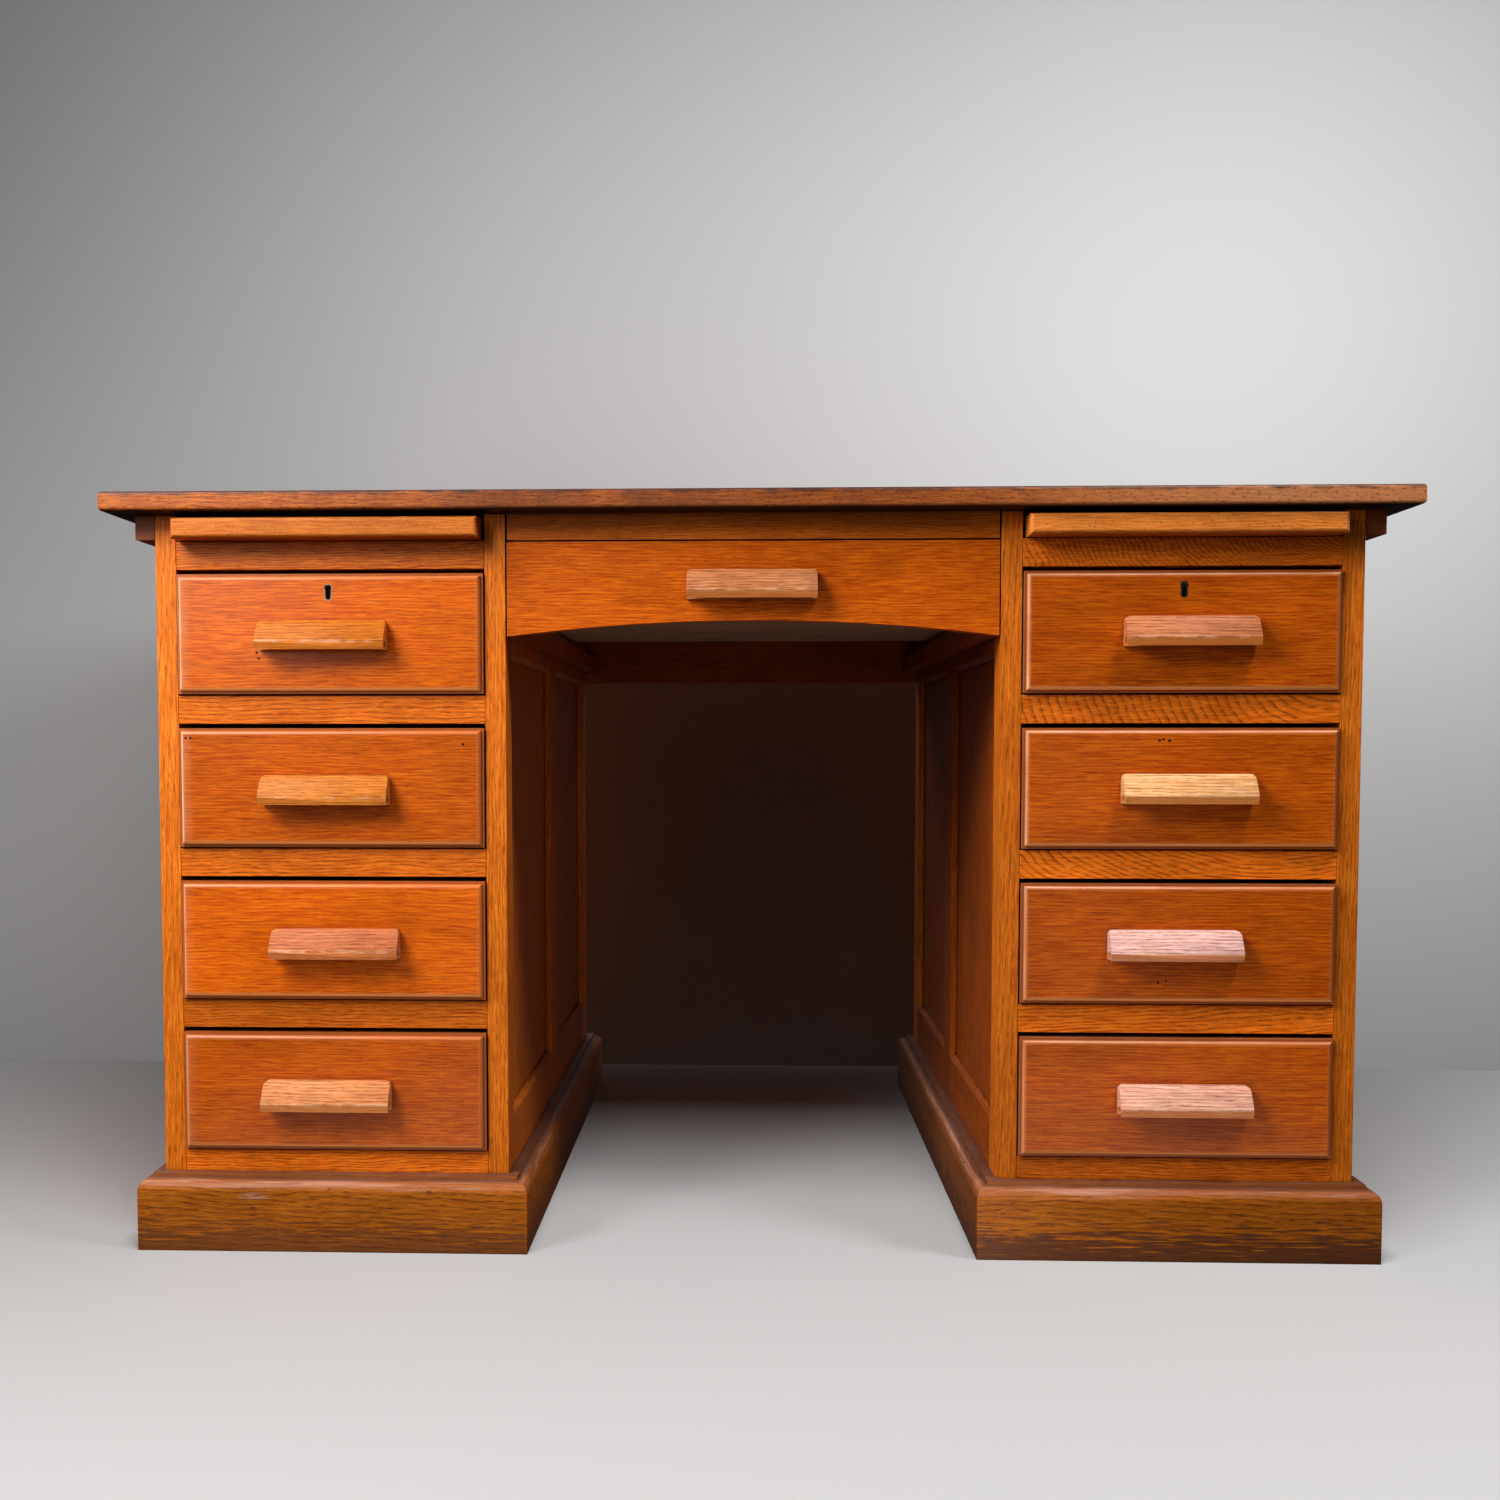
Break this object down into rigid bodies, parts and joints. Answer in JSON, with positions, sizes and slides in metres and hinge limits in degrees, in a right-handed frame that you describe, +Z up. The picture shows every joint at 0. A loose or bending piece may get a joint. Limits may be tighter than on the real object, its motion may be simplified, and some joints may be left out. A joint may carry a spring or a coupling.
{
  "type": "pedestal desk",
  "caption": "Varnished oak pedestal desk: drawer stacks either side of an open kneehole, pull-out writing slides, arched centre drawer, moulded plinths.",
  "frame": {"origin": "on the floor, under the middle of the desk top", "axes": "+X to the right of someone facing the drawers, +Y towards the back, +Z up; the drawers open towards -Y"},
  "size_m": [1.32, 0.8, 0.78],
  "materials": {
    "top_oak": "varnished oak, satin",
    "carcass_oak": "varnished oak, satin",
    "rail_oak": "varnished oak, satin",
    "panel_oak": "varnished oak, satin",
    "plinth_oak": "varnished oak, worn",
    "slide_oak": "varnished oak, satin",
    "drawer_front_oak": "varnished oak, satin",
    "pull_oak": "varnished oak, worn",
    "drawer_box_wood": "bare planed wood",
    "runner_wood": "bare planed wood",
    "lock_brass": "tarnished brass"
  },
  "bodies": {
    "carcass": {"top_panel": "top_oak", "top_lipping": "top_oak", "top_cleats": "carcass_oak", "centre_rail": "carcass_oak", "centre_runners": "runner_wood", "back_apron": "carcass_oak", "left_posts": "carcass_oak", "left_front_rails": "rail_oak", "left_side_frames": "carcass_oak", "left_back_rails": "carcass_oak", "left_panels": "panel_oak", "left_runners": "runner_wood", "left_drawer_stops": "runner_wood", "left_plinth": "plinth_oak", "right_posts": "carcass_oak", "right_front_rails": "rail_oak", "right_side_frames": "carcass_oak", "right_back_rails": "carcass_oak", "right_panels": "panel_oak", "right_runners": "runner_wood", "right_drawer_stops": "runner_wood", "right_plinth": "plinth_oak"},
    "left_drawer_1": {"left_drawer_1_front": "drawer_front_oak", "left_drawer_1_box": "drawer_box_wood", "left_drawer_1_pull": "pull_oak", "left_lock_case": "lock_brass", "left_escutcheon": "lock_brass"},
    "left_drawer_2": {"left_drawer_2_front": "drawer_front_oak", "left_drawer_2_box": "drawer_box_wood", "left_drawer_2_pull": "pull_oak"},
    "left_drawer_3": {"left_drawer_3_front": "drawer_front_oak", "left_drawer_3_box": "drawer_box_wood", "left_drawer_3_pull": "pull_oak"},
    "left_drawer_4": {"left_drawer_4_front": "drawer_front_oak", "left_drawer_4_box": "drawer_box_wood", "left_drawer_4_pull": "pull_oak"},
    "left_slide": {"left_slide_board": "slide_oak", "left_slide_nosing": "slide_oak"},
    "left_lock_bolt": {"left_lock_bolt": "lock_brass"},
    "right_drawer_1": {"right_drawer_1_front": "drawer_front_oak", "right_drawer_1_box": "drawer_box_wood", "right_drawer_1_pull": "pull_oak", "right_lock_case": "lock_brass", "right_escutcheon": "lock_brass"},
    "right_drawer_2": {"right_drawer_2_front": "drawer_front_oak", "right_drawer_2_box": "drawer_box_wood", "right_drawer_2_pull": "pull_oak"},
    "right_drawer_3": {"right_drawer_3_front": "drawer_front_oak", "right_drawer_3_box": "drawer_box_wood", "right_drawer_3_pull": "pull_oak"},
    "right_drawer_4": {"right_drawer_4_front": "drawer_front_oak", "right_drawer_4_box": "drawer_box_wood", "right_drawer_4_pull": "pull_oak"},
    "right_slide": {"right_slide_board": "slide_oak", "right_slide_nosing": "slide_oak"},
    "right_lock_bolt": {"right_lock_bolt": "lock_brass"},
    "centre_drawer": {"centre_drawer_front": "drawer_front_oak", "centre_drawer_box": "drawer_box_wood", "centre_drawer_pull": "pull_oak"}
  },
  "joints": [
    {"name": "left_drawer_1_pull_out", "type": "slide", "parent": "carcass", "child": "left_drawer_1", "axis": [0, -1, 0], "range_m": [0, 0.45]},
    {"name": "left_drawer_2_pull_out", "type": "slide", "parent": "carcass", "child": "left_drawer_2", "axis": [0, -1, 0], "range_m": [0, 0.45]},
    {"name": "left_drawer_3_pull_out", "type": "slide", "parent": "carcass", "child": "left_drawer_3", "axis": [0, -1, 0], "range_m": [0, 0.45]},
    {"name": "left_drawer_4_pull_out", "type": "slide", "parent": "carcass", "child": "left_drawer_4", "axis": [0, -1, 0], "range_m": [0, 0.45]},
    {"name": "left_slide_pull_out", "type": "slide", "parent": "carcass", "child": "left_slide", "axis": [0, -1, 0], "range_m": [0, 0.35]},
    {"name": "left_lock_bolt_throw", "type": "slide", "parent": "left_drawer_1", "child": "left_lock_bolt", "axis": [0, 0, 1], "range_m": [0, 0.009]},
    {"name": "right_drawer_1_pull_out", "type": "slide", "parent": "carcass", "child": "right_drawer_1", "axis": [0, -1, 0], "range_m": [0, 0.45]},
    {"name": "right_drawer_2_pull_out", "type": "slide", "parent": "carcass", "child": "right_drawer_2", "axis": [0, -1, 0], "range_m": [0, 0.45]},
    {"name": "right_drawer_3_pull_out", "type": "slide", "parent": "carcass", "child": "right_drawer_3", "axis": [0, -1, 0], "range_m": [0, 0.45]},
    {"name": "right_drawer_4_pull_out", "type": "slide", "parent": "carcass", "child": "right_drawer_4", "axis": [0, -1, 0], "range_m": [0, 0.45]},
    {"name": "right_slide_pull_out", "type": "slide", "parent": "carcass", "child": "right_slide", "axis": [0, -1, 0], "range_m": [0, 0.35]},
    {"name": "right_lock_bolt_throw", "type": "slide", "parent": "right_drawer_1", "child": "right_lock_bolt", "axis": [0, 0, 1], "range_m": [0, 0.009]},
    {"name": "centre_drawer_pull_out", "type": "slide", "parent": "carcass", "child": "centre_drawer", "axis": [0, -1, 0], "range_m": [0, 0.33]}
  ]
}
